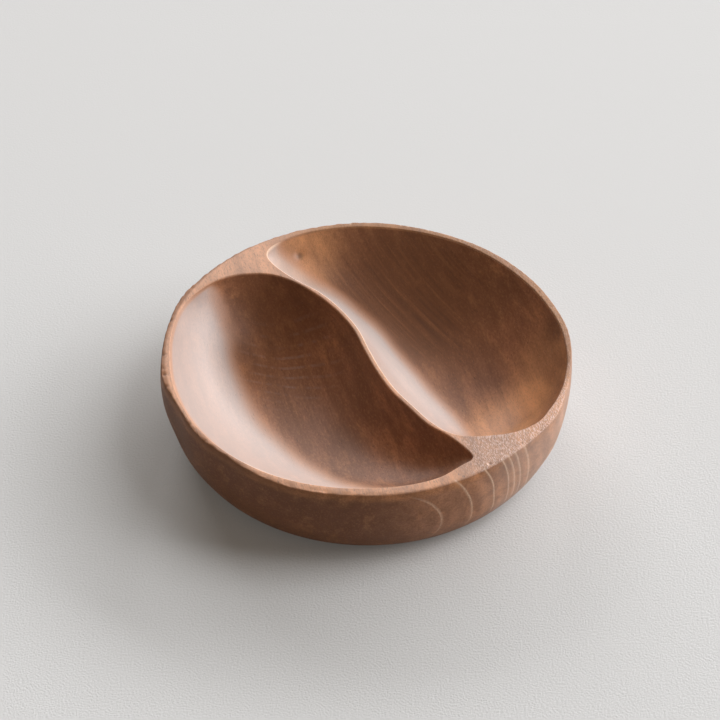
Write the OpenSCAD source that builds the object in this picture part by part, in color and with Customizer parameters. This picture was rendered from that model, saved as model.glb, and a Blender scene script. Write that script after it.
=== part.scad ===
// Divided serving bowl, carved from one round of wood.
// A turned blank with a bulging wall is scooped into two comma-shaped wells.
// A thin S-shaped ridge, as high as the rim, is left standing between them.
// Millimetres, +Z up. The origin is the middle of the flat underside.

/* [Blank] */
// Diameter where the wall bulges most
bowl_d = 160; // [144:1:200]
// Height of the rim above the table
bowl_h = 38; // [34:0.5:50]
// Diameter of the flat underside
base_d = 128; // [96:1:146]
// Height at which the wall bulges most
bulge_h = 32; // [24:0.5:33.5]
// Radius that softens the outer edge of the rim
rim_edge_r = 0.8; // [0.3:0.1:1.2]

/* [Wells] */
// Width of the rim where it is thinnest
rim_w = 1.9; // [1.5:0.1:5]
// Width of the ridge between the two wells
ridge_w = 1.6; // [1.2:0.1:6]
// Wood left under the deepest place of the left well
left_floor_t = 15; // [5:0.5:20]
// Wood left under the deepest place of the right well
right_floor_t = 13.5; // [5:0.5:20]
// Radius that softens the lips of the wells
lip_r = 0.7; // [0.3:0.1:1]
// Steepness of the wells' walls just under their lips, in degrees
lip_slope = 58; // [45:1:75]
// Roundness of the scooped sections: 2 is a parabola, more is flatter below
scoop_power = 2.4; // [2:0.1:3.5]
// How far towards the ridge a section is deepest, as a share of half its width
scoop_lean = 0.13; // [0:0.01:0.25]

/* [Hidden] */

// The cutters reach this far above the rim
overrun = 2;
// Steps between two hand-placed sections of a well
SECTION_STEPS = 4;
// Steps across a well, from the ridge to the rim
ACROSS_STEPS = 16;
// Steps around the softened lip
LIP_STEPS = 4;
// Steps up the outer wall and around the rim's edge
WALL_STEPS = 28;
EDGE_STEPS = 5;

// The wall is one arc of an ellipse, from the underside up to the rim
base_r = base_d / 2;
wall_reach = bowl_d / 2 - base_r;
rim_lean = asin(bowl_h / bulge_h - 1);
rim_r = base_r + wall_reach * cos(rim_lean);

// The wells lie inside this radius
well_r = rim_r - rim_w;

// The middle line of the ridge, from the front right to the back left,
// across and away as shares of the wells' radius
ridge_line_shares = [
    [0.400, -0.590], [0.305, -0.513], [0.215, -0.395], [0.128, -0.272],
    [0.057, -0.128], [0.003, 0.012], [-0.058, 0.180], [-0.144, 0.325],
    [-0.250, 0.449], [-0.378, 0.551]
];

// The sections of the left well, from the tip of its tail to its head.
// Each has the place of its lip at the ridge, across and away, the share of
// half the ridge that it leaves there, the direction in degrees in which it
// meets the rim, and how far out its lip lies there, as a share again
left_section_shares = [
    [0.512, -0.756, 0.0, -55.9, 0.913],
    [0.474, -0.682, 0.2, -60.9, 0.929],
    [ridge_line_shares[0].x, ridge_line_shares[0].y, 1.0, -69.0, 0.958],
    [ridge_line_shares[1].x, ridge_line_shares[1].y, 1.0, -78.4, 0.967],
    [ridge_line_shares[2].x, ridge_line_shares[2].y, 1.0, -88.2, 0.969],
    [ridge_line_shares[3].x, ridge_line_shares[3].y, 1.0, -99.0, 0.976],
    [ridge_line_shares[4].x, ridge_line_shares[4].y, 1.0, -110.0, 0.984],
    [ridge_line_shares[5].x, ridge_line_shares[5].y, 1.0, -122.0, 0.989],
    [ridge_line_shares[6].x, ridge_line_shares[6].y, 1.0, -135.0, 0.992],
    [ridge_line_shares[7].x, ridge_line_shares[7].y, 1.0, -150.0, 0.989],
    [ridge_line_shares[8].x, ridge_line_shares[8].y, 1.0, -165.5, 0.982],
    [ridge_line_shares[9].x, ridge_line_shares[9].y, 0.8, -180.0, 0.981],
    [-0.496, 0.595, 0.0, -190.5, 0.989],
    [-0.610, 0.598, 0.0, -198.0, 0.993],
    [-0.716, 0.572, 0.0, -204.5, 0.984],
    [-0.812, 0.510, 0.0, -212.1, 0.959]
];

// The sections of the right well, in the same way
right_section_shares = [
    [-0.516, 0.760, 0.0, 124.2, 0.919],
    [-0.478, 0.668, 0.2, 118.8, 0.966],
    [ridge_line_shares[9].x, ridge_line_shares[9].y, 1.0, 110.2, 0.981],
    [ridge_line_shares[8].x, ridge_line_shares[8].y, 1.0, 101.0, 0.984],
    [ridge_line_shares[7].x, ridge_line_shares[7].y, 1.0, 91.5, 0.984],
    [ridge_line_shares[6].x, ridge_line_shares[6].y, 1.0, 81.0, 0.980],
    [ridge_line_shares[5].x, ridge_line_shares[5].y, 1.0, 70.0, 0.981],
    [ridge_line_shares[4].x, ridge_line_shares[4].y, 1.0, 58.0, 0.983],
    [ridge_line_shares[3].x, ridge_line_shares[3].y, 1.0, 45.0, 0.979],
    [ridge_line_shares[2].x, ridge_line_shares[2].y, 1.0, 30.0, 0.981],
    [ridge_line_shares[1].x, ridge_line_shares[1].y, 1.0, 14.5, 0.993],
    [ridge_line_shares[0].x, ridge_line_shares[0].y, 0.8, 0.0, 1.000],
    [0.508, -0.606, 0.0, -10.5, 0.999],
    [0.625, -0.596, 0.0, -18.0, 0.994],
    [0.735, -0.568, 0.0, -24.5, 0.985],
    [0.838, -0.499, 0.0, -30.8, 0.975]
];

// How deep each section goes, as a share of its well's depth
section_depth_shares = [
    0, 0.15, 0.37, 0.55, 0.69, 0.80, 0.89, 0.95,
    0.99, 1, 0.96, 0.82, 0.58, 0.34, 0.13, 0
];

// One section of a well: its two lips, its depth and what it leaves of the ridge
function section(row, depth_share) =
    let (rim = row[4] * [cos(row[3]), sin(row[3])])
    concat(well_r * [row[0], row[1]], well_r * rim, [depth_share, row[2] * ridge_w / 2]);

// Past the tip of a well its two lips have changed sides
function past_tip(s) = [s[2], s[3], s[0], s[1], -s[4], 0];

// A smooth curve through b and c, with a and d as their neighbours
function between(a, b, c, d, t) =
    b + t / 2 * ((c - a) + t * ((2 * a - 5 * b + 4 * c - d) + t * (3 * (b - c) + d - a)));

// All sections of a well, with smooth steps between the hand-placed ones
function all_sections(rows) =
    let (
        placed = [for (k = [0 : len(rows) - 1]) section(rows[k], section_depth_shares[k])],
        last = len(placed) - 1,
        chain = concat([past_tip(placed[1])], placed, [past_tip(placed[last - 1])])
    )
    [for (k = [0 : last], step = [0 : SECTION_STEPS - 1]) if (k < last || step == 0)
        k < last
            ? between(chain[k], chain[k + 1], chain[k + 2], chain[k + 3], step / SECTION_STEPS)
            : placed[last]];

// The lip of a well as a closed line: out along the ridge, back along the rim
function lip_line(sections) =
    let (last = len(sections) - 1)
    [for (m = [0 : 2 * last - 1])
        let (s = sections[m <= last ? m : 2 * last - m])
        m <= last ? [s[0], s[1], s[5]] : [s[2], s[3], 0]];

// The direction that points out of the well at each place of its lip
function outward(line) =
    let (count = len(line))
    [for (m = [0 : count - 1])
        let (
            ahead = line[(m + 1) % count],
            behind = line[(m + count - 1) % count],
            along = [ahead.x - behind.x, ahead.y - behind.y]
        )
        [along.y, -along.x] / norm(along)];

// A ring around the lip, moved out by some distance, at a height
function ring(line, out, move, z) =
    [for (m = [0 : len(line) - 1])
        let (place = [line[m].x, line[m].y] + (move - line[m][2]) * out[m])
        [place.x, place.y, z]];

// A cutter for one well. Rings soften the lip, and rows of points run across
// the scoop from the ridge to the rim, from the tail to the head
module well(rows, floor_t) {
    sections = all_sections(rows);
    line = lip_line(sections);
    out = outward(line);
    count = len(line);
    last = count / 2;
    lip_back = lip_r * tan(lip_slope / 2);
    lip_drop = lip_r * (1 - cos(lip_slope));
    scoop_depth = bowl_h - floor_t - lip_drop;

    rings = concat(
        [ring(line, out, lip_back, bowl_h + overrun)],
        [for (step = [0 : LIP_STEPS])
            let (turn = lip_slope * step / LIP_STEPS)
            ring(line, out, lip_back - lip_r * sin(turn), bowl_h - lip_r * (1 - cos(turn)))]
    );
    edge = rings[LIP_STEPS + 1];

    // Rows of points across the scoop, between the two ends of the softened lip
    scoop = [for (k = [1 : last - 1], step = [1 : ACROSS_STEPS - 1])
        let (
            side = -cos(180 * step / ACROSS_STEPS),
            leaned = side + scoop_lean * (1 - side * side),
            middle = (edge[k] + edge[count - k]) / 2,
            half = (edge[count - k] - edge[k]) / 2,
            sunk = scoop_depth * sections[k][4] * (1 - pow(abs(leaned), scoop_power))
        )
        middle + side * half - [0, 0, sunk]];

    function lip_place(level, m) = level * count + (m + count) % count;
    function scoop_place(k, step) =
        k == 0 || k == last || step == 0 ? lip_place(LIP_STEPS + 1, k)
        : step == ACROSS_STEPS ? lip_place(LIP_STEPS + 1, -k)
        : (LIP_STEPS + 2) * count + (k - 1) * (ACROSS_STEPS - 1) + step - 1;

    quads = concat(
        [for (level = [0 : LIP_STEPS], m = [0 : count - 1])
            [lip_place(level, m), lip_place(level, m + 1),
             lip_place(level + 1, m + 1), lip_place(level + 1, m)]],
        [for (k = [0 : last - 1], step = [0 : ACROSS_STEPS - 1])
            [scoop_place(k, step), scoop_place(k + 1, step),
             scoop_place(k + 1, step + 1), scoop_place(k, step + 1)]],
        [for (k = [0 : last - 1])
            [lip_place(0, k), lip_place(0, -k), lip_place(0, -k - 1), lip_place(0, k + 1)]]
    );
    triangles = [for (q = quads, half = [[q[0], q[1], q[2]], [q[0], q[2], q[3]]])
        if (half[0] != half[1] && half[1] != half[2] && half[2] != half[0]) half];

    polyhedron(points = concat([for (level = rings, place = level) place], scoop), faces = triangles);
}

// The turned blank: a flat underside and a bulging wall up to a softened rim
module blank() {
    wall = [for (step = [0 : WALL_STEPS])
        let (turn = -90 + (90 + rim_lean) * step / WALL_STEPS)
        [base_r + wall_reach * cos(turn), bulge_h * (1 + sin(turn))]];
    below_edge = [for (place = wall) if (place.y < bowl_h - rim_edge_r) place];
    edge = [for (step = [0 : EDGE_STEPS])
        let (turn = 90 * step / EDGE_STEPS)
        [rim_r - rim_edge_r * (1 - cos(turn)), bowl_h - rim_edge_r * (1 - sin(turn))]];
    rotate_extrude($fn = 180)
        polygon(concat([[0, 0]], below_edge, edge, [[0, bowl_h]]));
}

// The whole bowl, one piece of wood
module bowl() {
    color("#a8714f")
        difference() {
            blank();
            well(left_section_shares, left_floor_t);
            well(right_section_shares, right_floor_t);
        }
}

bowl();
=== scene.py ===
# %% [markdown]
# A divided serving bowl, cell by cell
#
# The real bowl is one round of reddish wood. It was turned to a low, bulging
# blank, and two comma-shaped wells were then scooped out of it, so that a thin
# S-shaped ridge was left standing between them. There is only one piece, so
# the whole lesson goes into its shape and its wood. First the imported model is
# loaded: it gives the frame, the sizes and the place of everything.

# %% Load the frame
import math

import bmesh
import bpy
import numpy as np
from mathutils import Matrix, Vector, noise


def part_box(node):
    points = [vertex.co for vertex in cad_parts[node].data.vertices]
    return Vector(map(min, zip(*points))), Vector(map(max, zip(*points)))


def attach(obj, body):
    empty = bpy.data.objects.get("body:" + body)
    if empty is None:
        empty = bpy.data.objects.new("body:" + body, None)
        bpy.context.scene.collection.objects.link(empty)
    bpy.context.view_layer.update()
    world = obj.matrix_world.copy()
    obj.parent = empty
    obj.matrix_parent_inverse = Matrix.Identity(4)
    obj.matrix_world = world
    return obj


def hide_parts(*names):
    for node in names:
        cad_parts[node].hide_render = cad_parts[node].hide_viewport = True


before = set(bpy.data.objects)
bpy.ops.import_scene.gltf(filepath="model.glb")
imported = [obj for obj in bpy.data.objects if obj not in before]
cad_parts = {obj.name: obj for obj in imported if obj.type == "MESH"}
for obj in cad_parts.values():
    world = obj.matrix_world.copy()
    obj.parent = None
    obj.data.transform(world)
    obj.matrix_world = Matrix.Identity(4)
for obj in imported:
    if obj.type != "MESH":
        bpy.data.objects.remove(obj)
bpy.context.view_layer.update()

# %% [markdown]
# Sizes
#
# The outer sizes come from the frame. The others are the carver's own: the
# flat underside, the height of the bulge, the thin rim and ridge, and the
# wood left under each well. Everything is in metres, so a millimetre gets a
# name of its own.

# %% Name the sizes
MM = 0.001
bowl_low, bowl_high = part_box("bowl")
bowl_h = bowl_high.z - bowl_low.z
bulge_r = (bowl_high.x - bowl_low.x) / 2
base_r = 64 * MM
bulge_h = 32 * MM
rim_edge_r = 0.8 * MM
rim_w = 1.9 * MM
ridge_w = 1.6 * MM
lip_r = 0.7 * MM
lip_slope = math.radians(58)
scoop_power = 2.4
scoop_lean = 0.13
left_floor_t = 15 * MM
right_floor_t = 13.5 * MM

wall_reach = bulge_r - base_r
rim_lean = math.asin(bowl_h / bulge_h - 1)
rim_r = base_r + wall_reach * math.cos(rim_lean)
well_r = rim_r - rim_w
print(f"rim radius {rim_r / MM:.2f} mm, wells inside {well_r / MM:.2f} mm")

# %% [markdown]
# The camera
#
# The photograph was taken from well above the bowl with a long lens, so the
# round rim is seen as a wide ellipse that hardly narrows towards the back.
# The camera looks at a point on the table behind the middle of the bowl, which
# is what puts the bowl in the lower middle of the square picture. Its angle,
# its distance and its lens were fitted to the rim and the ridge together.

# %% Place the camera
camera_angle = math.radians(41.913)
camera_roll = 0.00595
camera_distance = 1196.1 * MM
film_width = 36
lens_length = 147.43
nearest_seen = 0.05
farthest_seen = 50
aim = Vector((-2.56, 37.4, 0)) * MM
back = Vector((0, -math.cos(camera_angle), math.sin(camera_angle)))

bpy.ops.object.camera_add(location=aim + camera_distance * back)
camera = bpy.context.object
camera.name = "camera"
camera.rotation_euler = (math.pi / 2 - camera_angle, 0, 0)
camera.rotation_euler.rotate_axis("Z", camera_roll)
camera.data.sensor_width = film_width
camera.data.lens = lens_length
camera.data.clip_start = nearest_seen
camera.data.clip_end = farthest_seen
bpy.context.scene.camera = camera
print(f"camera at {tuple(round(v, 3) for v in camera.location)}")

# %% [markdown]
# Shaping by hand
#
# An operator works on whatever is selected, and the frame comes in selected.
# So a small helper clears the selection before each new piece, and two others
# enter and leave edit mode around a few operators. Vertices closer together
# than a thousandth of a millimetre count as one.

# %% Helpers for modelling
SAME_PLACE = 0.001 * MM


def start_fresh():
    """Nothing is selected, and no object is in edit mode."""
    if bpy.context.mode != "OBJECT":
        bpy.ops.object.mode_set(mode="OBJECT")
    bpy.ops.object.select_all(action="DESELECT")


def edit(piece, mode="VERT"):
    """Edit mode on one piece, with everything in it selected."""
    start_fresh()
    bpy.context.view_layer.objects.active = piece
    piece.select_set(True)
    bpy.ops.object.mode_set(mode="EDIT")
    bpy.ops.mesh.select_mode(type=mode)
    bpy.ops.mesh.select_all(action="SELECT")


def leave(piece):
    """Back in object mode, with what the piece now holds printed."""
    bpy.ops.object.mode_set(mode="OBJECT")
    print(piece.name, len(piece.data.vertices), "vertices", len(piece.data.polygons), "faces")


print("vertices within", SAME_PLACE / MM, "mm are merged")

# %% [markdown]
# The turned blank
#
# On the lathe the blank is a profile turned round an axis, and a mesh can be
# made in just the same way. The profile starts at the middle of the underside,
# runs out to the edge of the flat, climbs the wall along one arc of an
# ellipse, and rolls over a small radius onto the rim. It is drawn point by
# point with extrude, and spun once round. A stack of cylinders would show
# steps where the wall is one smooth bulge.

# %% Draw the profile of the blank
UNDERSIDE_STEPS = 8
WALL_STEPS = 44
EDGE_STEPS = 5
TURN_STEPS = 600


def blank_profile():
    """The places of the profile, as distance from the axis and height."""
    underside = [(base_r * k / UNDERSIDE_STEPS, 0) for k in range(UNDERSIDE_STEPS)]
    wall = []
    for k in range(WALL_STEPS + 1):
        turn = -math.pi / 2 + (math.pi / 2 + rim_lean) * k / WALL_STEPS
        place = (base_r + wall_reach * math.cos(turn), bulge_h * (1 + math.sin(turn)))
        if place[1] < bowl_h - rim_edge_r:
            wall.append(place)
    edge = []
    for k in range(EDGE_STEPS + 1):
        turn = math.pi / 2 * k / EDGE_STEPS
        edge.append((
            rim_r - rim_edge_r * (1 - math.cos(turn)),
            bowl_h - rim_edge_r * (1 - math.sin(turn)),
        ))
    return underside + wall + edge


profile = blank_profile()
print(len(profile), "places from the middle of the underside to the rim")

# %% Spin the blank
start_fresh()
bpy.ops.mesh.primitive_plane_add(size=MM, location=(0, 0, 0))
bowl = bpy.context.object
bowl.name = "carved_bowl"
edit(bowl)
bpy.ops.mesh.merge(type="CENTER")
for here, there in zip(profile, profile[1:]):
    step = (there[0] - here[0], 0, there[1] - here[1])
    bpy.ops.mesh.extrude_vertices_move(TRANSFORM_OT_translate={"value": step})
bpy.ops.mesh.select_all(action="SELECT")
bpy.ops.mesh.spin(steps=TURN_STEPS, angle=math.tau, center=(0, 0, 0), axis=(0, 0, 1))
bpy.ops.mesh.select_all(action="SELECT")
bpy.ops.mesh.remove_doubles(threshold=SAME_PLACE)
leave(bowl)

# %% [markdown]
# The plan of the wells
#
# Seen from above, the ridge is an S. Each well is measured by sections across
# it, from the thin tail of the comma to its round head. A section runs from
# the ridge to the rim, so it has one lip on each. The places are shares of
# the wells' radius, as in the bowl's plan, and a smooth curve fills in the
# steps between the sections.

# %% Measure the sections
RIDGE_LINE_SHARES = (
    (0.400, -0.590), (0.305, -0.513), (0.215, -0.395), (0.128, -0.272),
    (0.057, -0.128), (0.003, 0.012), (-0.058, 0.180), (-0.144, 0.325),
    (-0.250, 0.449), (-0.378, 0.551),
)

# Each section: the lip at the ridge, across and away, the share of half the
# ridge that it leaves, and the rim's lip as a direction in degrees and a share
LEFT_TAIL_SHARES = ((0.512, -0.756, 0.0, -55.9, 0.913), (0.474, -0.682, 0.2, -60.9, 0.929))
LEFT_RIM_SHARES = (
    (1.0, -69.0, 0.958), (1.0, -78.4, 0.967), (1.0, -88.2, 0.969), (1.0, -99.0, 0.976),
    (1.0, -110.0, 0.984), (1.0, -122.0, 0.989), (1.0, -135.0, 0.992), (1.0, -150.0, 0.989),
    (1.0, -165.5, 0.982), (0.8, -180.0, 0.981),
)
LEFT_HEAD_SHARES = (
    (-0.496, 0.595, 0.0, -190.5, 0.989), (-0.610, 0.598, 0.0, -198.0, 0.993),
    (-0.716, 0.572, 0.0, -204.5, 0.984), (-0.812, 0.510, 0.0, -212.1, 0.959),
)
RIGHT_TAIL_SHARES = ((-0.516, 0.760, 0.0, 124.2, 0.919), (-0.478, 0.668, 0.2, 118.8, 0.966))
RIGHT_RIM_SHARES = (
    (1.0, 110.2, 0.981), (1.0, 101.0, 0.984), (1.0, 91.5, 0.984), (1.0, 81.0, 0.980),
    (1.0, 70.0, 0.981), (1.0, 58.0, 0.983), (1.0, 45.0, 0.979), (1.0, 30.0, 0.981),
    (1.0, 14.5, 0.993), (0.8, 0.0, 1.000),
)
RIGHT_HEAD_SHARES = (
    (0.508, -0.606, 0.0, -10.5, 0.999), (0.625, -0.596, 0.0, -18.0, 0.994),
    (0.735, -0.568, 0.0, -24.5, 0.985), (0.838, -0.499, 0.0, -30.8, 0.975),
)
DEPTH_SHARES = (
    0, 0.15, 0.37, 0.55, 0.69, 0.80, 0.89, 0.95,
    0.99, 1, 0.96, 0.82, 0.58, 0.34, 0.13, 0,
)


def measured_sections(tail, along_rim, head, ridge_line):
    """Each section as its two lips, its share of the depth and what it leaves of the ridge."""
    rows = list(tail) + [(*ridge, *rim) for ridge, rim in zip(ridge_line, along_rim)] + list(head)
    sections = []
    for (across, away, held, direction, reach), depth in zip(rows, DEPTH_SHARES):
        turn = math.radians(direction)
        sections.append((
            well_r * across, well_r * away,
            well_r * reach * math.cos(turn), well_r * reach * math.sin(turn),
            depth, held * ridge_w / 2,
        ))
    return sections


left_sections = measured_sections(
    LEFT_TAIL_SHARES, LEFT_RIM_SHARES, LEFT_HEAD_SHARES, RIDGE_LINE_SHARES
)
right_sections = measured_sections(
    RIGHT_TAIL_SHARES, RIGHT_RIM_SHARES, RIGHT_HEAD_SHARES, RIDGE_LINE_SHARES[::-1]
)
print(len(left_sections), "sections in each well")

# %% [markdown]
# From sections to a smooth well
#
# Sixteen sections are enough to measure a well, but not to show it smooth. A
# curve that passes through every section fills in ten steps between each pair.
# Past a tip there is no section, so the next one before it stands in, with its
# lips changed over, and the curve closes to a point.

# %% Smooth the way between sections
SECTION_STEPS = 10


def between(a, b, c, d, t):
    """A smooth curve through b and c, with a and d as their neighbours."""
    return tuple(
        q + t / 2 * ((r - p) + t * ((2 * p - 5 * q + 4 * r - s) + t * (3 * (q - r) + s - p)))
        for p, q, r, s in zip(a, b, c, d)
    )


def past_tip(section):
    """Past the tip of a well its two lips have changed sides."""
    return (section[2], section[3], section[0], section[1], -section[4], 0)


def all_sections(measured):
    """The measured sections with smooth steps between them."""
    chain = [past_tip(measured[1]), *measured, past_tip(measured[-2])]
    steps = [
        between(*chain[k:k + 4], step / SECTION_STEPS)
        for k in range(len(measured) - 1)
        for step in range(SECTION_STEPS)
    ]
    return steps + [measured[-1]]


left_steps = all_sections(left_sections)
right_steps = all_sections(right_sections)
print(len(left_steps), "sections with the steps between")

# %% [markdown]
# The wells
#
# A well is a scooped surface with a softened lip. A plane grid has just the
# right build for it: its rows become the sections and its columns run from
# the tail to the head. So a grid is laid down, and each of its vertices is
# moved to its place, as if a cloth were pressed into the hollow. At the
# edges a few columns roll over the lip's small radius, and the first and
# last rows shrink to the tips and are merged there.

# %% Work out a well's surface
LIP_STEPS = 5
ACROSS_STEPS = 40


def lip_and_outward(steps):
    """Both lips of each section, and the direction that points out of the well there."""
    ridge_side = [(s[0], s[1], s[5]) for s in steps]
    rim_side = [(s[2], s[3], 0) for s in steps[1:-1]]
    loop = np.array(ridge_side + rim_side[::-1])
    along = np.roll(loop, -1, axis=0)[:, :2] - np.roll(loop, 1, axis=0)[:, :2]
    out = np.stack([along[:, 1], -along[:, 0]], axis=1)
    out /= np.linalg.norm(out, axis=1)[:, None]
    return loop, out


def well_rows(steps, floor_t):
    """The places across each section: over one lip, down the scoop and over the other."""
    loop, out = lip_and_outward(steps)
    count = len(loop)
    last = len(steps) - 1
    lip_back = lip_r * math.tan(lip_slope / 2)
    scoop_depth = bowl_h - floor_t - lip_r * (1 - math.cos(lip_slope))

    def over_lip(m):
        arc = []
        for k in range(LIP_STEPS + 1):
            turn = lip_slope * k / LIP_STEPS
            move = lip_back - lip_r * math.sin(turn) - loop[m, 2]
            x, y = loop[m, :2] + move * out[m]
            arc.append(np.array((x, y, bowl_h - lip_r * (1 - math.cos(turn)))))
        return arc

    rows = []
    for k, section in enumerate(steps):
        ridge_arc = over_lip(k)
        rim_arc = over_lip(k if k in (0, last) else count - k)
        middle = (ridge_arc[-1] + rim_arc[-1]) / 2
        half = (rim_arc[-1] - ridge_arc[-1]) / 2
        scoop = []
        for step in range(1, ACROSS_STEPS):
            side = -math.cos(math.pi * step / ACROSS_STEPS)
            leaned = side + scoop_lean * (1 - side * side)
            sunk = scoop_depth * section[4] * (1 - abs(leaned) ** scoop_power)
            scoop.append(middle + side * half - np.array((0, 0, sunk)))
        rows.append(ridge_arc + scoop + rim_arc[::-1])
    return rows


print("each section has", 2 * (LIP_STEPS + 1) + ACROSS_STEPS - 1, "places across")

# %% Press a grid into each well
def pressed_well(name, steps, floor_t):
    """One well, with the tips merged."""
    rows = well_rows(steps, floor_t)
    row_count = len(rows)
    column_count = len(rows[0])
    start_fresh()
    bpy.ops.mesh.primitive_grid_add(
        x_subdivisions=row_count - 1, y_subdivisions=column_count - 1,
        size=2 * well_r, location=(0, 0, 0),
    )
    well = bpy.context.object
    well.name = name
    for vertex in well.data.vertices:
        row = round((vertex.co.x / (2 * well_r) + 0.5) * (row_count - 1))
        column = round((vertex.co.y / (2 * well_r) + 0.5) * (column_count - 1))
        vertex.co = rows[row][column]
    edit(well)
    bpy.ops.mesh.remove_doubles(threshold=SAME_PLACE)
    leave(well)
    return well


left_well = pressed_well("left_well", left_steps, left_floor_t)
right_well = pressed_well("right_well", right_steps, right_floor_t)

# %% [markdown]
# The land between
#
# What the scoop left standing at the height of the rim is one flat face with
# two holes: the rim, the wide flats at the front right and the back left, and
# the crest of the ridge. With the blank and both wells joined, only three
# open edges are left, and fill closes the land between them. Its first
# triangles are long and thin, and later dents would crease them. So the large
# ones are poked in the middle and turned until they are about even.

# %% Join the pieces and fill the land
start_fresh()
for piece in (left_well, right_well, bowl):
    piece.select_set(True)
bpy.context.view_layer.objects.active = bowl
bpy.ops.object.join()
edit(bowl, "EDGE")
bpy.ops.mesh.select_all(action="DESELECT")
bpy.ops.mesh.select_non_manifold(
    extend=False, use_wire=False, use_boundary=True,
    use_multi_face=False, use_non_contiguous=False, use_verts=False,
)
bpy.ops.mesh.fill(use_beauty=True)
leave(bowl)

# %% Even out the land
LARGEST_LAND_FACE = 0.5 * MM * MM
POKE_ROUNDS = 6


def is_land(face):
    """A face that lies flat at the height of the rim."""
    return all(abs(v.co.z - bowl_h) < SAME_PLACE for v in face.verts)


edit(bowl, "FACE")
for _ in range(POKE_ROUNDS):
    mesh = bmesh.from_edit_mesh(bowl.data)
    for face in mesh.faces:
        face.select_set(is_land(face) and face.calc_area() > LARGEST_LAND_FACE)
    bmesh.update_edit_mesh(bowl.data)
    bpy.ops.mesh.poke()
    mesh = bmesh.from_edit_mesh(bowl.data)
    for face in mesh.faces:
        face.select_set(is_land(face))
    bmesh.update_edit_mesh(bowl.data)
    bpy.ops.mesh.beautify_fill()
bpy.ops.mesh.select_all(action="SELECT")
bpy.ops.mesh.normals_make_consistent(inside=False)
leave(bowl)

# %% [markdown]
# The hand in the work
#
# A carved bowl is never quite round. Its rim swells and flattens a little,
# the scooped surfaces carry the faint unevenness of gouge and sandpaper, and
# the outer edge of the rim is slightly ragged, with a few small chips. All
# of this moves the surface by about a millimetre at most, so it is worked out
# for each vertex: the rim moves out or in, and the rest along the surface's
# own direction. A displace modifier could do the noise, but not the chips and
# swellings, which have their own places.

# %% Read and write the bowl's places
def read_places(piece):
    """Where the vertices are, and which way the surface faces there."""
    count = len(piece.data.vertices)
    places = np.empty(count * 3, np.float32)
    facing = np.empty(count * 3, np.float32)
    piece.data.vertices.foreach_get("co", places)
    piece.data.vertex_normals.foreach_get("vector", facing)
    return places.reshape(-1, 3).astype(float), facing.reshape(-1, 3).astype(float)


def write_places(piece, places):
    """Moves the vertices."""
    piece.data.vertices.foreach_set("co", places.astype(np.float32).ravel())
    piece.data.update()


def ease(value, start, end):
    """0 before start, 1 past end, and smooth between."""
    share = np.clip((value - start) / (end - start), 0, 1)
    return share * share * (3 - 2 * share)


print(len(read_places(bowl)[0]), "places to work on")

# %% Make the rim uneven
# Where the rim swells out or is flat: direction in degrees, spread, size
RIM_SWELLS = (
    (10, 8, 0.7 * MM), (67, 10, -0.4 * MM), (92, 7, 0.3 * MM), (125, 14, -0.2 * MM),
    (157, 8, 0.9 * MM), (191, 7, 0.8 * MM), (204, 7, -0.9 * MM), (228, 6, -0.6 * MM),
    (248, 12, 0.8 * MM), (306, 14, -0.6 * MM), (334, 8, 0.9 * MM),
)
RIM_DRAWN_IN = 0.25 * MM
RIM_ZONE_SHARES = (0.955, 0.997)

places, _ = read_places(bowl)
away_from_axis = np.hypot(places[:, 0], places[:, 1])
direction = np.degrees(np.arctan2(places[:, 1], places[:, 0])) % 360
swell = np.full(len(places), -RIM_DRAWN_IN)
for middle, spread, size in RIM_SWELLS:
    turned = (direction - middle + 180) % 360 - 180
    swell += size * np.exp(-((turned / spread) ** 2))
near_rim = ease(away_from_axis / rim_r, *RIM_ZONE_SHARES)
outward = places[:, :2] / np.maximum(away_from_axis, MM)[:, None]
places[:, :2] += outward * (swell * near_rim)[:, None]
write_places(bowl, places)
print(f"rim moves from {swell.min() / MM:.2f} to {swell.max() / MM:.2f} mm")

# %% Add the unevenness of the gouge
GOUGE_LENGTH = 17 * MM
GOUGE_DEPTH = 0.22 * MM
EDGE_LENGTH = 2.2 * MM
EDGE_DEPTH = 0.38 * MM
WORKED_FROM = (1.5 * MM, 8 * MM)
EDGE_HEIGHT = (bowl_h - 1.6 * MM, bowl_h - 0.6 * MM)
EDGE_ZONE = (rim_r - 1.9 * MM, rim_r - 0.9 * MM)
ROUGHER_TO_THE_LEFT = (-20 * MM, 20 * MM)
LEAST_ROUGH = 0.35

places, facing = read_places(bowl)
above_table = ease(places[:, 2], *WORKED_FROM)
away_from_axis = np.hypot(places[:, 0], places[:, 1])
rim_edge = ease(places[:, 2], *EDGE_HEIGHT) * ease(away_from_axis, *EDGE_ZONE)
rim_edge *= LEAST_ROUGH + (1 - LEAST_ROUGH) * ease(-places[:, 0], *ROUGHER_TO_THE_LEFT)
gouge = np.array([noise.noise(Vector(p / GOUGE_LENGTH)) for p in places])
ragged = np.array([noise.noise(Vector(p / EDGE_LENGTH)) for p in places])
inwards = GOUGE_DEPTH * (0.5 + 0.5 * gouge) * above_table
inwards += EDGE_DEPTH * np.clip(0.4 + ragged, 0, 1) * rim_edge
places -= facing * inwards[:, None]
write_places(bowl, places)
print(f"surface is worked down by up to {inwards.max() / MM:.2f} mm")

# %% Cut the nick, the knot and the chips
# Each mark: where it is in millimetres, how wide and how deep
MARKS = (
    ((46.0, -61.9, 38), 1.2, 0.5),
    ((-27.5, 66.0, 31), 2.6, 0.8),
    ((-77.8, 18.0, 38), 1.3, 0.6),
    ((-79.0, -2.1, 38), 1.2, 0.5),
    ((-77.9, -13.6, 38), 1.4, 0.5),
    ((-77.0, -20.5, 38), 1.1, 0.5),
    ((-74.3, 30.0, 38), 1.3, 0.5),
    ((-61.0, -50.3, 38), 1.0, 0.45),
)

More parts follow.
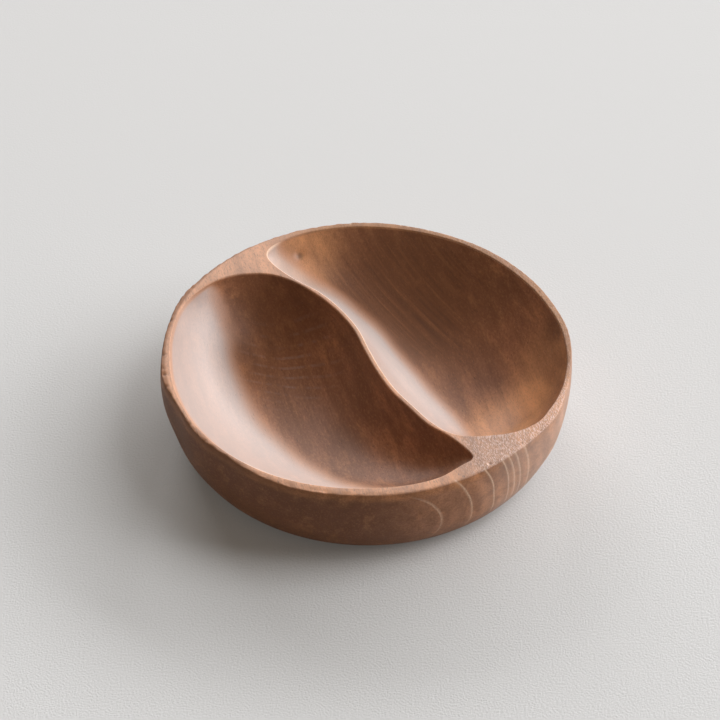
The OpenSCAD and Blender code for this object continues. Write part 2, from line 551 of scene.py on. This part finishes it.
places, facing = read_places(bowl)
for middle, width, depth in MARKS:
    far = np.linalg.norm(places - np.array(middle) * MM, axis=1)
    sunk = depth * MM * np.exp(-((far / (width * MM)) ** 2) * 2)
    places -= facing * sunk[:, None]
write_places(bowl, places)
print(len(MARKS), "marks, the deepest", max(mark[2] for mark in MARKS), "mm")

# %% [markdown]
# Handing the bowl over
#
# The real surface is smooth between its marks, and the mesh is fine enough to
# be shaded smooth all over. The bowl then takes the place of the CAD node: it
# rides on the same body.

# %% Shade it smooth and hand it over
start_fresh()
bowl.select_set(True)
bpy.context.view_layer.objects.active = bowl
bpy.ops.object.shade_smooth()
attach(bowl, "root")
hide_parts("bowl")
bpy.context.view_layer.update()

# %% [markdown]
# A way to write materials
#
# Wood is a solid pattern: rings, fibres and pores run through the whole
# block, and a cut shows them as they happen to lie. So the material is
# worked out from the place inside the block, in Object coordinates. That
# takes many small sums, and they are easier to read as sums than as a web
# of nodes. A wire stands for a node's output, and arithmetic on wires adds
# the Math nodes. A finish is a material, with one way to add any node to it
# and a few short names for the nodes that come most often.

# %% Wires and finishes
class Wire:
    """A node's output, which Python arithmetic works on."""

    def __init__(self, finish, socket):
        self.finish = finish
        self.socket = socket

    def sum(self, operation, *others):
        inputs = dict(enumerate((self, *others)))
        return self.finish.add("ShaderNodeMath", {"operation": operation}, inputs)

    def __add__(self, other):
        return self.sum("ADD", other)

    __radd__ = __add__

    def __mul__(self, other):
        return self.sum("MULTIPLY", other)

    __rmul__ = __mul__

    def __sub__(self, other):
        return self.sum("SUBTRACT", other)

    def __rsub__(self, other):
        return self * -1 + other

    def __truediv__(self, other):
        return self.sum("DIVIDE", other)

    def __pow__(self, other):
        return self.sum("POWER", other)


class Finish:
    """A material, with one way to add any node to it."""

    def __init__(self, name):
        self.material = bpy.data.materials.new(name)
        self.material.use_nodes = True
        self.tree = self.material.node_tree
        self.tree.nodes.clear()

    def add(self, kind, settings=None, inputs=None, output=0):
        """A node of any kind, as the wire of one of its outputs."""
        node = self.tree.nodes.new(kind)
        for name, value in (settings or {}).items():
            if name == "stops":
                ramp = node.color_ramp.elements
                while len(ramp) < len(value):
                    ramp.new(0.5)
                for element, (position, shade) in zip(ramp, value):
                    element.position = position
                    element.color = (shade, shade, shade, 1)
            else:
                setattr(node, name, value)
        for name, value in (inputs or {}).items():
            if isinstance(value, Wire):
                self.tree.links.new(value.socket, node.inputs[name])
            else:
                node.inputs[name].default_value = value
        return Wire(self, node.outputs[output]) if node.outputs else None

    def vector(self, operation, first, second, output=1):
        """A sum on two places or directions: output 1 is a number, output 0 a place."""
        inputs = {0: first, 1: second}
        return self.add("ShaderNodeVectorMath", {"operation": operation}, inputs, output)

    def patches(self, place, detail, roughness=0.5, scale=1.0):
        """Soft random patches, between 0 and 1."""
        return self.add("ShaderNodeTexNoise", {"noise_dimensions": "3D"}, {
            "Vector": place, "Scale": scale, "Detail": detail, "Roughness": roughness,
        })

    def step(self, value, start, end):
        """0 before start, 1 past end, and smooth between."""
        return self.add(
            "ShaderNodeMapRange", {"interpolation_type": "SMOOTHSTEP"},
            {"Value": value, "From Min": start, "From Max": end, "To Min": 0.0, "To Max": 1.0},
        )

    def blend(self, share, first, second):
        """Two colours, blended by a share."""
        return self.add(
            "ShaderNodeMix", {"data_type": "RGBA", "blend_type": "MIX", "clamp_factor": True},
            {0: share, 6: first, 7: second}, output=2,
        )


print("ready to write materials")

# %% [markdown]
# The wood
#
# The round was cut with its fibres lying flat, running from the back left to
# the front right. The growth rings are tubes round a line that runs the same
# way through the front of the bowl. So on the land the fibres show as short
# strokes, on the front of the wall, where they end, the rings show as pale
# curved lines, and inside the wells they make faint slanting streaks. The
# three distances that matter are therefore along the fibres, across them and
# up. Noise that is long in the first and short in the others gives streaks,
# fibres and pores, whichever way the surface is cut.

# %% Lay the fibres through the block
FIBRE_TURN = math.radians(15)
PITH_ACROSS = -10.6 * MM
PITH_HEIGHT = 18 * MM

wood = Finish("oiled_reddish_wood")
place = wood.add("ShaderNodeTexCoord", output=3)
normal = wood.add("ShaderNodeNewGeometry", output=1)


def distance_along(direction):
    """How far the place lies along a direction."""
    return wood.vector("DOT_PRODUCT", place, direction)


along = distance_along((math.sin(FIBRE_TURN), -math.cos(FIBRE_TURN), 0))
across = distance_along((math.cos(FIBRE_TURN), math.sin(FIBRE_TURN), 0)) - PITH_ACROSS
height = distance_along((0, 0, 1))
east = distance_along((1, 0, 0))
north = distance_along((0, 1, 0))


def joined(x, y, z):
    """Three distances as one place."""
    return wood.add("ShaderNodeCombineXYZ", {}, {0: x, 1: y, 2: z})


def fibre_noise(length, width, detail=2.0, seed=0.0, roughness=0.5):
    """Noise whose patches have this length along the fibres and this width across them."""
    stretched = joined(along / length + seed, across / width, height / width)
    return wood.patches(stretched, detail, roughness)


print("the fibres run", round(math.degrees(FIBRE_TURN)), "degrees to the right of the front")

# %% [markdown]
# Rings
#
# Each ring is a little wavy, so the distance from the pith gets some noise
# before it is read. Broad bands of it are slightly darker, and at a few
# distances a thin pale line marks where a season's growth began. A wave
# texture would space all lines evenly. On the real wall they crowd together
# towards the right, so a ramp with stops at listed distances draws them.

# %% Draw the rings
RING_LINES = (18.9, 31.3, 41.2, 47.9, 50.5, 53.3, 57.5)
RING_LINE_HALF = 0.45 * MM
RING_REACH = 120 * MM
RING_WAVES = 2.2 * MM
RING_BAND = 6.5 * MM

waviness = fibre_noise(60 * MM, 25 * MM, seed=3.0) - 0.5
from_pith = (across * across + (height - PITH_HEIGHT) * (height - PITH_HEIGHT)) ** 0.5
from_pith = from_pith + waviness * RING_WAVES


def line_stops(lines):
    """Stops of a ramp that is 1 on thin lines and 0 between them."""
    stops = [(0, 0.0)]
    for line in lines:
        for offset, value in ((-RING_LINE_HALF, 0.0), (0, 1.0), (RING_LINE_HALF, 0.0)):
            stops.append(((line * MM + offset) / RING_REACH, value))
    return stops


pale_lines = wood.add(
    "ShaderNodeValToRGB", {"stops": line_stops(RING_LINES)}, {0: from_pith / RING_REACH}
)
ring_bands = (from_pith / RING_BAND * math.tau).sum("SINE") * 0.5 + 0.5
print(len(RING_LINES), "pale lines, the last", RING_LINES[-1], "mm from the pith")

# %% [markdown]
# Where on the bowl
#
# The land, the wall and the slopes that face the window each get their own
# tints and coat, so the finish has to know where it is. The height tells the
# land. The wall is where the distance from the axis comes close to the blank's
# own profile and the surface faces out. The slopes that face the window at the
# back right get painted light and painted sheen, so the way that the surface
# faces tells them. Painted masks could do this too, but they would blur at the
# edges and need redoing when a size changes.

# %% Find the land, the wall and the slopes that face the window
LAND_HEIGHT = (bowl_h - 0.9 * MM, bowl_h - 0.35 * MM)
WALL_SKIN = (-3.0 * MM, -2.0 * MM)
TOWARD_WINDOW = (0.80, 0.35, 0)

on_land = wood.step(height, *LAND_HEIGHT)
off_land = 1 - on_land
from_axis = (east * east + north * north) ** 0.5
up_the_wall = height / bulge_h - 1
wall_here = (1 - up_the_wall * up_the_wall) ** 0.5 * wall_reach + base_r
flat_place = wood.vector("MULTIPLY", place, (1, 1, 0), output=0)
facing_out = wood.vector("DOT_PRODUCT", flat_place, normal) / from_axis
outside = wood.step(from_axis - wall_here, *WALL_SKIN) * wood.step(facing_out, 0.0, 0.2)
not_outside = 1 - outside
# The slopes that face the window at the back right; the paler colour and the coat laid on them
# below are painted light and sheen
window_facing = wood.step(wood.vector("DOT_PRODUCT", normal, TOWARD_WINDOW), 0.08, 0.32)
print("masks for the land, the wall and the rubbed slopes")

# %% [markdown]
# Painted light and painted shade
#
# The front of the right well, the tip of its tail and the inside of the right
# rim are painted paler and more golden, as light that falls there, and the
# backs of both wells are painted darker, as shade. Each such place is a soft
# ball in the block, given by its middle, its reach and how strong it is, so it
# shows alike on every surface that cuts it. At the front end of the right well
# a ball takes away some of the painted light and sheen of the slopes.

# %% Place the painted light and the painted shade
# Each place: its middle and its reach in millimetres, and its strength
PAINTED_LIGHT_PLACES = (
    ((56, -18, 18), 29, 0.85), ((71, 2, 30), 26, 0.6), ((-24, 64, 32), 24, 0.85),
)
PAINTED_SHADE_PLACES = (
    ((12, 52, 24), 46, 1.0), ((-34, 37, 26), 28, 0.6), ((44, 50, 29), 26, 0.1),
    ((-52, 20, 20), 12, 0.2), ((74.5, 17, 35), 9, 0.65), ((22, 20, 14), 40, 0.38),
)


def near(middle, reach, start=0.3):
    """1 near a place in the block and 0 beyond its reach, in millimetres."""
    far = wood.vector("DISTANCE", place, tuple(v * MM for v in middle))
    return 1 - wood.step(far, start * reach * MM, reach * MM)


# The golden balls paint light, and the dark balls paint shade
painted_light = sum(near(middle, reach) * amount for middle, reach, amount in PAINTED_LIGHT_PLACES)
painted_shade = sum(near(middle, reach) * amount for middle, reach, amount in PAINTED_SHADE_PLACES)
# Less painted light and sheen on the slopes at the front end of the right well
window_facing = window_facing * (1 - near((43, -41, 24), 24, start=0.4) * 0.75)
print(len(PAINTED_LIGHT_PLACES), "golden places and", len(PAINTED_SHADE_PLACES), "dark ones")

# %% [markdown]
# The tints
#
# Bare sanded land is a light orange tan. Oil makes the wells redder. The wall
# gets the darkest tint, and its right end, where the window falls on it, is
# painted paler, as light. A picture of wood could be wrapped round the bowl,
# but it would stretch on the slopes and break off at the edges. So the colour
# is built up as a wood finisher would stain it: from a few plain tints, each
# laid over the last by a share that says where and how much.

# %% Choose the tints
TAN = (0.76, 0.35, 0.155, 1)
# The pale land tint is painted sheen on the land towards the left
PALE_LAND = (0.82, 0.50, 0.34, 1)
WARM_LAND = (0.42, 0.21, 0.09, 1)
REDDISH = (0.40, 0.170, 0.083, 1)
# This golden tint is painted light
PAINTED_LIGHT_GOLDEN = (0.84, 0.42, 0.19, 1)
# The pale slope tint paints the window's sheen on the slopes that face it, and also draws the
# gouge's arcs
PALE_SLOPE = (0.50, 0.37, 0.32, 1)
WALL_BROWN = (0.25, 0.100, 0.048, 1)
# The pale wall tint is painted light at the lit end of the wall
PALE_WALL = (0.62, 0.30, 0.165, 1)
ORANGE_EDGE = (0.66, 0.29, 0.12, 1)
WORN_EDGE = (0.34, 0.15, 0.07, 1)
PALE_LINE = (0.95, 0.70, 0.50, 1)
PALE_FUZZ = (0.98, 0.76, 0.68, 1)
WARM_PATCH = (0.80, 0.36, 0.15, 1)
DARK_STREAK = (0.21, 0.085, 0.038, 1)
PORE = (0.10, 0.045, 0.025, 1)
print("the land starts from", TAN[:3], "and the wells from", REDDISH[:3])

# %% Lay the first tints
PALE_LAND_EAST = (5 * MM, -55 * MM)
FAR_RIM = (30 * MM, 66 * MM)
LIT_END = (30 * MM, 76 * MM)
LOW_WALL = (17 * MM, 3 * MM)
EDGE_BAND = (bowl_h - 4.8 * MM, bowl_h - 2.0 * MM)

far_rim = on_land * wood.step(north + east * 0.8, *FAR_RIM)
lit_end = wood.step(east * 0.9 - north * 0.44, *LIT_END)
edge_band = outside * off_land * wood.step(height, *EDGE_BAND)
clouds = fibre_noise(40 * MM, 20 * MM, detail=3.0, seed=11.0)

colour = wood.blend(on_land, REDDISH, TAN)
# Painted light on the golden balls
colour = wood.blend(painted_light * off_land, colour, PAINTED_LIGHT_GOLDEN)
# Painted shade in the dark balls
colour = wood.blend(painted_shade * off_land, colour, DARK_STREAK)
# The land is painted paler towards the left, as sheen
colour = wood.blend(on_land * wood.step(east, *PALE_LAND_EAST) * 0.2, colour, PALE_LAND)
colour = wood.blend(far_rim * 0.85, colour, WARM_LAND)
# The right end of the wall, where the window falls, is painted paler, as light
wall_colour = wood.blend(lit_end, WALL_BROWN, PALE_WALL)
# The foot of the wall is painted darker, as the shade under the bulge
wall_colour = wood.blend(wood.step(height, *LOW_WALL) * 0.55, wall_colour, DARK_STREAK)
colour = wood.blend(outside * off_land, colour, wall_colour)
colour = wood.blend(edge_band * (0.35 + clouds * 0.7), colour, ORANGE_EDGE)
print(len(wood.tree.nodes), "nodes so far")

# %% [markdown]
# Clouds, streaks and scrapes
#
# Over the tints go the marks of growth: broad clouds, blotches, and streaks
# along the fibres, mostly in the wells and less where light is painted, on the
# golden balls and on the slopes that face the window. At the back of the right
# well the scraper left fine slanting lines, which don't follow the fibres, so
# they have a direction of their own.

# %% Add clouds, blotches and streaks
blotches = fibre_noise(15 * MM, 6 * MM, detail=5.0, seed=17.0, roughness=0.62)
broad_streaks = fibre_noise(80 * MM, 4.5 * MM, detail=2.0, seed=2.0)
streaks = fibre_noise(45 * MM, 1.6 * MM, detail=3.0, seed=5.0)

calm = (1 - outside * 0.2 - on_land * 0.5) * (1 - painted_light * 0.9) * (1 - window_facing * 0.35)
warm_blotches = wood.step(blotches, 0.5, 0.3) * (1 - painted_shade * 0.75)
colour = wood.blend(wood.step(clouds, 0.42, 0.68) * 0.5, colour, DARK_STREAK)
colour = wood.blend(wood.step(blotches, 0.48, 0.74) * calm * 0.42, colour, DARK_STREAK)
colour = wood.blend(warm_blotches * calm * 0.32, colour, WARM_PATCH)
colour = wood.blend(wood.step(broad_streaks, 0.48, 0.66) * calm * 0.5, colour, DARK_STREAK)
colour = wood.blend(wood.step(streaks, 0.5, 0.72) * calm * 0.36, colour, DARK_STREAK)
print(len(wood.tree.nodes), "nodes so far")

# %% Add the lines of the scraper
SCRAPE_TURN = math.radians(40)
SCRAPE_WIDTH = 1.2 * MM
SCRAPE_LENGTH = 50 * MM
SCRAPE_HEIGHT = 30 * MM

beside_scrapes = distance_along((math.cos(SCRAPE_TURN), math.sin(SCRAPE_TURN), 0))
scrapes = wood.patches(
    joined(beside_scrapes / SCRAPE_WIDTH, along / SCRAPE_LENGTH, height / SCRAPE_HEIGHT),
    detail=3.0, roughness=0.55,
)
scraped = painted_shade * not_outside * off_land * wood.step(blotches, 0.3, 0.55)
colour = wood.blend(wood.step(scrapes, 0.5, 0.68) * scraped * 0.36, colour, PORE)
colour = wood.blend(wood.step(scrapes, 0.5, 0.32) * scraped * 0.13, colour, WARM_PATCH)
print("scrapes turn", round(math.degrees(SCRAPE_TURN - FIBRE_TURN)), "degrees from the fibres")

# %% [markdown]
# Rings, fibres and mottle
#
# The rings show as soft bands everywhere and as pale lines on the wall, where
# they fade towards the foot and the left. Then come the finest marks of all:
# dark fibres and a mottle of specks about a millimetre long, which keep the
# wood from looking like plastic when it is seen from near.

# %% Add rings, fibres and mottle
LINES_BEGIN = (4 * MM, 16 * MM)
LINES_RISE = (2 * MM, 22 * MM)

fibres = fibre_noise(4 * MM, 0.3 * MM, detail=2.0, seed=8.0)
mottle = fibre_noise(1.5 * MM, 0.75 * MM, detail=3.0, seed=41.0, roughness=0.7)
on_wall = outside * wood.step(across, *LINES_BEGIN) * wood.step(height, *LINES_RISE)
mottled = 1 - window_facing * 0.2
dark_specks = wood.step(mottle, 0.46, 0.68) * mottled * (1 - painted_light * 0.5)
warm_specks = wood.step(mottle, 0.5, 0.3) * mottled * (1 - painted_shade * 0.6)

colour = wood.blend(ring_bands * (0.14 + outside * 0.16), colour, DARK_STREAK)
colour = wood.blend(pale_lines * on_wall * (0.3 + streaks * 0.9), colour, PALE_LINE)
colour = wood.blend(wood.step(fibres, 0.5, 0.75) * 0.25, colour, DARK_STREAK)
colour = wood.blend(dark_specks * 0.36, colour, DARK_STREAK)
colour = wood.blend(warm_specks * 0.2, colour, WARM_PATCH)
print(len(wood.tree.nodes), "nodes so far")

# %% [markdown]
# Slopes, lips and edges
#
# Where the slopes that face the window turn away from it, an orange border is
# painted, as the soft edge of the shade. Inside it the slope is painted paler,
# as the window's sheen. The crest of the ridge is painted as a pale line of
# highlight, the lip at the left is painted orange where it faces the window,
# and the outer edge there is worn brown. Each is a narrow band of heights, cut
# off at the side where the real one ends, because a bevel's own material would
# end in a hard line.

# %% Colour the slopes, the lips and the edges
RIDGE_CREST = (bowl_h - 1.4 * MM, bowl_h - 0.3 * MM)
CREST_ENDS = (-62 * MM, -40 * MM)
WEST_LIP = (bowl_h - 2.2 * MM, bowl_h - 0.8 * MM)
WEST_LIP_ENDS = (-45 * MM, -66 * MM)
OUTER_EDGE = (rim_r - 2.2 * MM, rim_r - 1.0 * MM)
OUTER_EDGE_HEIGHT = (bowl_h - 4.0 * MM, bowl_h - 1.5 * MM)
WEAR_ENDS = (-10 * MM, -60 * MM)

# An orange border, painted where the slopes turn away from the window, as the edge of the shade
painted_shade_edge = window_facing * (1 - window_facing) * 4 * not_outside
# The crest's pale line is a painted highlight
crest = window_facing * not_outside * wood.step(height, *RIDGE_CREST) * wood.step(east, *CREST_ENDS)
# The lip at the left is painted orange only where it faces the window
west_lip = window_facing * wood.step(height, *WEST_LIP) * wood.step(east, *WEST_LIP_ENDS)
west_lip = west_lip * not_outside * off_land
worn_edge = wood.step(from_axis, *OUTER_EDGE) * wood.step(height, *OUTER_EDGE_HEIGHT)
worn_edge = worn_edge * wood.step(east, *WEAR_ENDS)

colour = wood.blend(painted_shade_edge * 0.45, colour, ORANGE_EDGE)
# The slopes that face the window are painted paler, as the window's sheen
colour = wood.blend(window_facing * not_outside * off_land * 0.4, colour, PALE_SLOPE)
colour = wood.blend(crest * 0.8, colour, PALE_LINE)
colour = wood.blend(west_lip * 0.6, colour, ORANGE_EDGE)
colour = wood.blend(worn_edge * 0.8, colour, WORN_EDGE)
print(len(wood.tree.nodes), "nodes so far")

# %% [markdown]
# Pores, raised fibres and the gouge's arcs
#
# Pores are thin dark dashes along the fibres. On the land at the front right
# the fibres were torn up by the saw and stand as pale fuzz, which fades along
# the far rim. On the floor of the left well the gouge left faint arcs about
# one far centre, which only show where the blotches let them.

# %% Add pores, fuzz and arcs
FUZZ_BEGINS = (24 * MM, 42 * MM)
ARC_CENTRE = (-70 * MM, -150 * MM, 20 * MM)
ARC_SPACING = 4.4 * MM
ARC_WAVES = 4 * MM

pores = wood.step(fibre_noise(3 * MM, 0.38 * MM, detail=1.0, seed=21.0), 0.66, 0.74)
colour = wood.blend(pores * (0.5 - window_facing * 0.25 - painted_light * 0.25), colour, PORE)

fuzzy = on_land * wood.step(east + north * 0.1, *FUZZ_BEGINS) * (1 - far_rim * 0.7)
fuzz_noise = fibre_noise(1.4 * MM, 0.23 * MM, detail=2.0, seed=31.0)
colour = wood.blend(fuzzy * wood.step(fuzz_noise, 0.47, 0.64) * 0.6, colour, PALE_FUZZ)
colour = wood.blend(fuzzy * wood.step(fuzz_noise, 0.45, 0.3) * 0.2, colour, DARK_STREAK)

arc_reach = wood.vector("DISTANCE", place, ARC_CENTRE) + waviness * ARC_WAVES
arcs = wood.step((arc_reach / ARC_SPACING * math.tau).sum("SINE"), 0.4, 1.0)
arcs = arcs * near((-30, 14, 18), 30, start=0.2) * wood.step(blotches, 0.42, 0.6)
colour = wood.blend(arcs * 0.2, colour, PALE_SLOPE)
print(len(wood.tree.nodes), "nodes so far")

# %% Add the small dark marks
# Each mark: where it is in millimetres, and how far it reaches
SMALL_MARKS = (
    ((46.2, -62.2, 37.4), 1.1), ((36.2, -68.9, 37.9), 0.8), ((64.4, -14.7, 21.0), 1.0),
    ((20.0, 34.9, 14.5), 1.4), ((-27.3, 65.6, 31.0), 2.4), ((-77.3, 18.0, 37.0), 1.3),
    ((-78.6, -2.1, 36.8), 1.2), ((-77.4, -13.6, 36.8), 1.4), ((-76.4, -20.5, 36.8), 1.0),
    ((-73.9, 30.0, 36.8), 1.2), ((-60.6, -50.0, 36.6), 0.9),
)
for middle, reach in SMALL_MARKS:
    colour = wood.blend(near(middle, reach, start=0.1) * 0.6, colour, PORE)
print(len(SMALL_MARKS), "small dark marks")

# %% [markdown]
# The finish
#
# Thin oil on sanded wood gives a soft, wide sheen and no mirror. A rough coat
# over the wood gives that. Its weight is partly real oil and partly painted
# sheen: it is strongest on the slopes that face the window at the back right,
# so that they shine pale in its light, less on the land, and hardly on the wall
# but at its lit right end. The land was cut and hardly sanded. At the front
# right its fibres stand up, so the bump is strongest there.

# %% Set the sheen and the bump
GRAIN_DEPTH = 0.12 * MM

relief = fibres * 0.35 + mottle * 0.5 + fuzz_noise * fuzzy * 2.0 - pores * 0.6 + streaks * 0.5
bump = wood.add("ShaderNodeBump", {}, {
    "Strength": 0.7, "Distance": GRAIN_DEPTH, "Height": relief,
})
roughness = 0.48 + on_land * 0.1 + clouds * 0.06 - pores * 0.1
# The coat's weight: real oil on the land, and painted sheen on the slopes that face the window
# and at the lit end of the wall
oil_and_painted_sheen = (0.04 + window_facing ** 1.5 * 0.96) * off_land * (1 - painted_light * 0.8)
oil_and_painted_sheen = oil_and_painted_sheen + on_land * 0.42 - far_rim * 0.34
oil_and_painted_sheen = oil_and_painted_sheen * (1 - worn_edge * 0.8) * (1 - west_lip * 0.5)
oil_and_painted_sheen = oil_and_painted_sheen * (1 - outside * off_land * (0.85 - lit_end * 0.6))
surface = wood.add("ShaderNodeBsdfPrincipled", {}, {
    "Base Color": colour, "Roughness": roughness, "Normal": bump, "IOR": 1.35,
    "Diffuse Roughness": 0.6,
    "Coat Weight": oil_and_painted_sheen, "Coat Roughness": 0.66, "Coat IOR": 2.5,
})
wood.add("ShaderNodeOutputMaterial", {}, {"Surface": surface})
bowl.data.materials.clear()
bowl.data.materials.append(wood.material)
print(len(wood.tree.nodes), "nodes in the wood")

# %% [markdown]
# The table
#
# The bowl stands on a pale grey sheet with a fine leathery grain. It is one
# large plane, so that no edge shows. Real grain would take millions of faces,
# so it is a small bump, which fades towards the back as it does out of focus.
# A weak glow, which only the camera and mirrors see, keeps the sheet as pale
# as a bright room does, and doesn't light the bowl from below.

# %% Lay the table
TABLE_SIZE = 8.0
SHEET_GREY = (0.57, 0.57, 0.57, 1)
SHEET_GLOW = (1.0, 0.96, 0.91, 1)
SHEET_GRAIN_PER_METRE = 1100.0
SHEET_GRAIN_DEPTH = 0.3 * MM
GRAIN_FADES = (-80 * MM, 160 * MM)

start_fresh()
bpy.ops.mesh.primitive_plane_add(size=TABLE_SIZE, location=(0, 0, 0))
table = bpy.context.object
table.name = "table"
sheet = Finish("pale_grained_sheet")
sheet_place = sheet.add("ShaderNodeTexCoord", output=3)
sheet_grain = sheet.patches(sheet_place, 2.0, roughness=0.6, scale=SHEET_GRAIN_PER_METRE)
sheet_north = sheet.vector("DOT_PRODUCT", sheet_place, (0, 1, 0))
nearness = 1 - sheet.step(sheet_north, *GRAIN_FADES) * 0.75
sheet_bump = sheet.add("ShaderNodeBump", {}, {
    "Strength": 0.8, "Distance": SHEET_GRAIN_DEPTH, "Height": sheet_grain * nearness,
})
sheet_surface = sheet.add("ShaderNodeBsdfPrincipled", {}, {
    "Base Color": SHEET_GREY, "Roughness": 0.9, "Normal": sheet_bump, "Specular IOR Level": 0.0,
})
camera_ray = sheet.add("ShaderNodeLightPath")
ray_kinds = camera_ray.socket.node.outputs
glossy_ray = Wire(sheet, ray_kinds["Is Glossy Ray"])
transmission_ray = Wire(sheet, ray_kinds["Is Transmission Ray"])
glow = sheet.add("ShaderNodeEmission", {}, {
    "Color": SHEET_GLOW, "Strength": (camera_ray + glossy_ray + transmission_ray) * 0.06,
})
both = sheet.add("ShaderNodeAddShader", {}, {0: sheet_surface, 1: glow})
sheet.add("ShaderNodeOutputMaterial", {}, {"Surface": both})
table.data.materials.append(sheet.material)
print("table of", TABLE_SIZE, "m with", len(sheet.tree.nodes), "nodes in its sheet")

# %% [markdown]
# The light
#
# A wide soft window at the back right lights the bowl, low enough that the
# ridge and the rim throw soft shadows into the wells and over the table. The
# shadow on the table narrows away from the bowl, which only a wide window
# does. Two weaker windows, at the left and the right of it, soften the ends
# of that shadow, and a high one brightens what lies level. The rest of the
# room is weak, even and warm. All are area lamps of a real window's size: a
# sun lamp would be too sharp, and a picture of a room could not be moved
# about one window at a time.

# %% Set the windows and the room
WINDOW_DISTANCE = 7.0
DAYLIGHT = (0.975, 0.985, 1.0)
WARM_ROOM = (1.0, 0.81, 0.60, 1)
ROOM_STRENGTH = 0.14

# Each window: its direction and height in degrees, its width, height and brightness
WINDOWS = {
    "window": (49, 25, 8.6, 1.7, 12.0),
    "left_window": (105, 24, 3.5, 2.6, 8.0),
    "right_window": (0, 27, 3.5, 3.0, 6.5),
    "high_window": (8, 54, 3.4, 3.4, 4.8),
}


def soft_window(name, turn, angle, width, height, brightness):
    """A flat lamp that faces the bowl, as bright as a surface of that radiance."""
    toward = Vector((
        math.cos(math.radians(angle)) * math.cos(math.radians(turn)),
        math.cos(math.radians(angle)) * math.sin(math.radians(turn)),
        math.sin(math.radians(angle)),
    ))
    bpy.ops.object.light_add(type="AREA", location=toward * WINDOW_DISTANCE)
    lamp = bpy.context.object
    lamp.name = name
    lamp.rotation_mode = "QUATERNION"
    lamp.rotation_quaternion = toward.to_track_quat("Z", "Y")
    lamp.data.shape = "RECTANGLE"
    lamp.data.size = width
    lamp.data.size_y = height
    lamp.data.energy = brightness * math.pi * width * height
    lamp.data.color = DAYLIGHT
    print(name, "at", [round(v, 2) for v in lamp.location])


for window_name, window_sizes in WINDOWS.items():
    soft_window(window_name, *window_sizes)

room = bpy.data.worlds.new("room")
room.use_nodes = True
room.node_tree.nodes["Background"].inputs["Color"].default_value = WARM_ROOM
room.node_tree.nodes["Background"].inputs["Strength"].default_value = ROOM_STRENGTH
bpy.context.scene.world = room
bpy.context.scene.view_settings.view_transform = "Standard"
